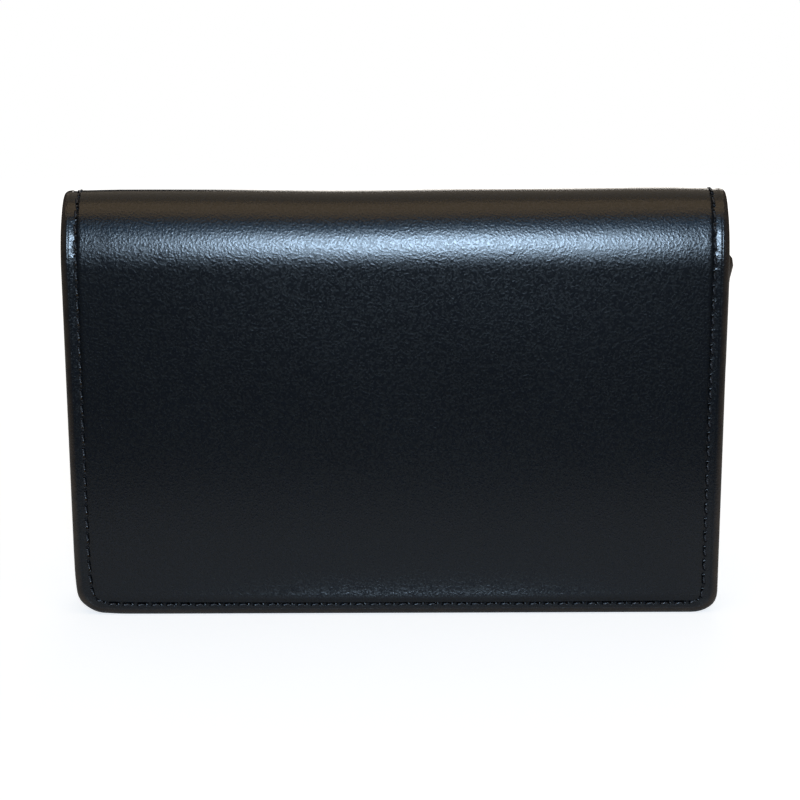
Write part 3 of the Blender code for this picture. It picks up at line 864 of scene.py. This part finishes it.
# %% Bend the gusset
GUSSET = 0.7
GUSSET_TOP = 58.3
GUSSET_BACK = 3.65
GUSSET_FRONT = -0.01
WING = 1.5
C_RUN = 6.0
TONGUE = 1.5
BULGE_UP = (3.7, 14.6, 28.0, 41.0, 52.8, 55.2, 56.2, 57.2, 58.2, 58.9, 59.4, 59.8)
LEFT_BULGE = (1.7, 2.0, 2.8, 3.05, 3.1, 3.1, 3.1, 3.15, 3.2, 3.1, 2.7, 2.0)
RIGHT_BULGE = (1.76, 2.2, 3.4, 3.75, 3.8, 3.8, 4.0, 4.3, 4.4, 4.1, 3.65, 3.3)
BOTTOM_BULGE = 1.0
u_side = WIDTH / 2 - SEAM_SIDE
u_low = SEAM_BOTTOM + SEAM_CORNER
side_run = GUSSET_TOP - u_low
corner_run = SEAM_CORNER * math.pi / 2
half_bottom = u_side - SEAM_CORNER
half_run = side_run + corner_run + half_bottom


def gusset_line(along, across):
    """Along the U from its middle: the place, the way out of the case and the bulge there."""
    side = -1 if along < 0 else 1
    past_bottom = abs(along) - half_bottom
    if past_bottom <= 0:
        return Vector((along, 0, SEAM_BOTTOM)), Vector((0, 0, -1)), BOTTOM_BULGE
    turn = min(past_bottom / SEAM_CORNER, math.pi / 2)
    out = Vector((side * math.sin(turn), 0, -math.cos(turn)))
    climb = max(0.0, past_bottom - corner_run)
    middle_share = math.cos(math.pi * min(abs(across) / C_RUN, 0.5)) ** 2
    climb += TONGUE * middle_share * max(0.0, 1 - (side_run - climb) / 7) ** 2
    place = Vector((side * half_bottom, 0, u_low)) + out * SEAM_CORNER + Vector((0, 0, climb))
    bulge = float(np.interp(place.z, BULGE_UP, LEFT_BULGE if side < 0 else RIGHT_BULGE))
    if climb == 0:
        bulge = BOTTOM_BULGE + (bulge - BOTTOM_BULGE) * (1 - math.cos(turn))
    return place, out, bulge


def bend_gusset(place):
    """The place on the case of a point of the strip: x along the U, y across the strip, back edge first."""
    line, out, bulge = gusset_line(place.x, place.y)
    turn = math.pi * min(max((place.y + C_RUN / 2) / C_RUN, 0), 1)
    wing = max(0.0, abs(place.y) - C_RUN / 2)
    middle = (GUSSET_BACK + GUSSET_FRONT) / 2
    swing = (GUSSET_BACK - GUSSET_FRONT) / 2
    return line + out * (bulge * math.sin(turn) - wing) + Vector((0, middle + swing * math.cos(turn), 0))


strip = bmesh.new()
bmesh.ops.create_grid(strip, x_segments=280, y_segments=24, size=1)
bmesh.ops.scale(strip, vec=(half_run, C_RUN / 2 + WING, 1), verts=strip.verts)
# The ends of the strip, where its corner shows past the cover, get the same brown: partly wear, partly a painted warm
# reflection.
wear_and_reflection_layer = strip.verts.layers.float.new("wear_and_painted_reflection")
for vert in strip.verts:
    vert[wear_and_reflection_layer] = 1.5 * ease((abs(vert.co.x) - half_run + 5) / 3)
gusset = make_piece(strip, "gusset_leather", calf, bend_gusset)
wall = gusset.modifiers.new("leather_thickness", "SOLIDIFY")
wall.thickness = GUSSET * MM
wall.offset = 0
wall.material_offset_rim = 1
gusset.data.materials.append(cut_edge)
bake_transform(gusset)
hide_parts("gusset")

# %% [markdown]
# ## Floor, lights and camera
# The case stands on a plain pale floor. A soft lamp close to the camera makes the long highlight on the
# rounded fold, and a large warm one overhead lights the top. The world fills the shadows, and to the camera
# it is plain white. The floor glows a little, to the camera alone, and more toward its far end, where the
# lamps hardly reach. The glow stays low enough for the soft shadow round the case to show.

# %% The floor
def floor_finish():
    material, shader = new_material("white_paper_sweep")
    shader.inputs["Base Color"].default_value = linear("cccccc")
    shader.inputs["Roughness"].default_value = 0.9
    shader.inputs["Specular IOR Level"].default_value = 0.1
    rays = add_node(material, "ShaderNodeLightPath")
    place = add_node(material, "ShaderNodeTexCoord")
    axes = add_node(material, "ShaderNodeSeparateXYZ", {0: place.outputs["Object"]})
    rise = add_node(material, "ShaderNodeMapRange", {0: axes.outputs["Y"], 1: 0.05, 2: 0.6, 3: 0.66, 4: 0.9})
    glow = add_node(material, "ShaderNodeEmission", {"Color": (1, 1, 1, 1), "Strength": rise.outputs[0]})
    both = add_node(material, "ShaderNodeAddShader", {0: shader.outputs[0], 1: glow.outputs[0]})
    direct = add_node(
        material, "ShaderNodeMath", {0: rays.outputs["Is Camera Ray"], 1: rays.outputs["Is Transmission Ray"]},
        operation="MAXIMUM",
    )
    seen = add_node(
        material, "ShaderNodeMixShader", {0: direct.outputs[0], 1: shader.outputs[0], 2: both.outputs[0]}
    )
    material.node_tree.links.new(seen.outputs[0], material.node_tree.nodes["Material Output"].inputs["Surface"])
    return material


ground = bmesh.new()
bmesh.ops.create_grid(ground, x_segments=1, y_segments=1, size=0.5)
bmesh.ops.scale(ground, vec=(1.6, 1, 1), verts=ground.verts)
bmesh.ops.translate(ground, vec=(0, 0.42, 0), verts=ground.verts)
floor_mesh = bpy.data.meshes.new("floor")
ground.to_mesh(floor_mesh)
ground.free()
floor_mesh.materials.append(floor_finish())
floor = bpy.data.objects.new("floor", floor_mesh)
bpy.context.scene.collection.objects.link(floor)
floor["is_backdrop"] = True
print("floor laid")

# %% The lamps and the world
def softbox(name, place, target, width, height, radiance, colour):
    """A rectangular lamp at a place, turned to a target, in metres. Its power is worked out from its radiance."""
    data = bpy.data.lights.new(name, "AREA")
    data.shape = "RECTANGLE"
    data.size, data.size_y = width, height
    data.color = colour
    data.energy = radiance * math.pi * width * height
    lamp = bpy.data.objects.new(name, data)
    lamp.location = place
    lamp.rotation_euler = (Vector(target) - Vector(place)).to_track_quat("-Z", "Y").to_euler()
    bpy.context.scene.collection.objects.link(lamp)
    return lamp


softbox("key_softbox", (0.03, -0.875, 0.344), (0, 0, 0.06), 0.25, 0.23, 44.5, (0.57, 0.77, 1.0))
softbox("key_skirt", (0.03, -0.72, 0.56), (0, 0, 0.06), 0.6, 0.24, 1.2, (0.3, 0.6, 1.0))
softbox("front_ceiling", (0.0, -0.31, 0.84), (0, 0, 0.07), 1.0, 0.5, 1.25, (1.0, 0.74, 0.45))
softbox("rear_ceiling", (0.0, 0.38, 0.84), (0, 0, 0.07), 1.0, 0.9, 0.55, (1.0, 0.84, 0.64))
softbox("back_softbox", (0.12, 0.85, 0.36), (0, 0, 0.05), 0.45, 0.3, 3.0, (1.0, 0.94, 0.86))
world = bpy.data.worlds.new("studio")
world.use_nodes = True
bpy.context.scene.world = world
sky = add_node(world, "ShaderNodeLightPath")
fill = world.node_tree.nodes["Background"]
fill.inputs["Color"].default_value = (0.9, 0.95, 1.0, 1)
fill.inputs["Strength"].default_value = 0.06
white = add_node(world, "ShaderNodeBackground", {"Color": (1, 1, 1, 1), "Strength": 1.0})
direct = add_node(
    world, "ShaderNodeMath", {0: sky.outputs["Is Camera Ray"], 1: sky.outputs["Is Transmission Ray"]},
    operation="MAXIMUM",
)
seen = add_node(world, "ShaderNodeMixShader", {0: direct.outputs[0], 1: fill.outputs[0], 2: white.outputs[0]})
world.node_tree.links.new(seen.outputs[0], world.node_tree.nodes["World Output"].inputs["Surface"])
bpy.context.scene.view_settings.view_transform = "Standard"

# %% The camera
DISTANCE = 0.2805
ELEVATION = math.radians(12)
ROLL = math.radians(0.2)
target = Vector((0.0007, -0.0035, 0.0361))
back = Vector((0, -math.cos(ELEVATION), math.sin(ELEVATION)))
lens = bpy.data.cameras.new("camera")
lens.sensor_width = 36
lens.lens = 76.1
lens.clip_start = 0.01
lens.dof.use_dof = False
camera = bpy.data.objects.new("camera", lens)
camera.rotation_mode = "QUATERNION"
camera.location = target + back * DISTANCE
camera.rotation_quaternion = Matrix.Rotation(ROLL, 3, -back).to_quaternion() @ (-back).to_track_quat("-Z", "Y")
bpy.context.scene.collection.objects.link(camera)
bpy.context.scene.camera = camera
print("camera at", [round(c, 4) for c in camera.location])

# %% [markdown]
# ## Size
# The dressed case has to keep the measured size, so its box is printed in millimetres.

# %% Print the size
low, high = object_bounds()
print("dressed case, mm:", [round((b - a) * 1000, 2) for a, b in zip(low, high)])
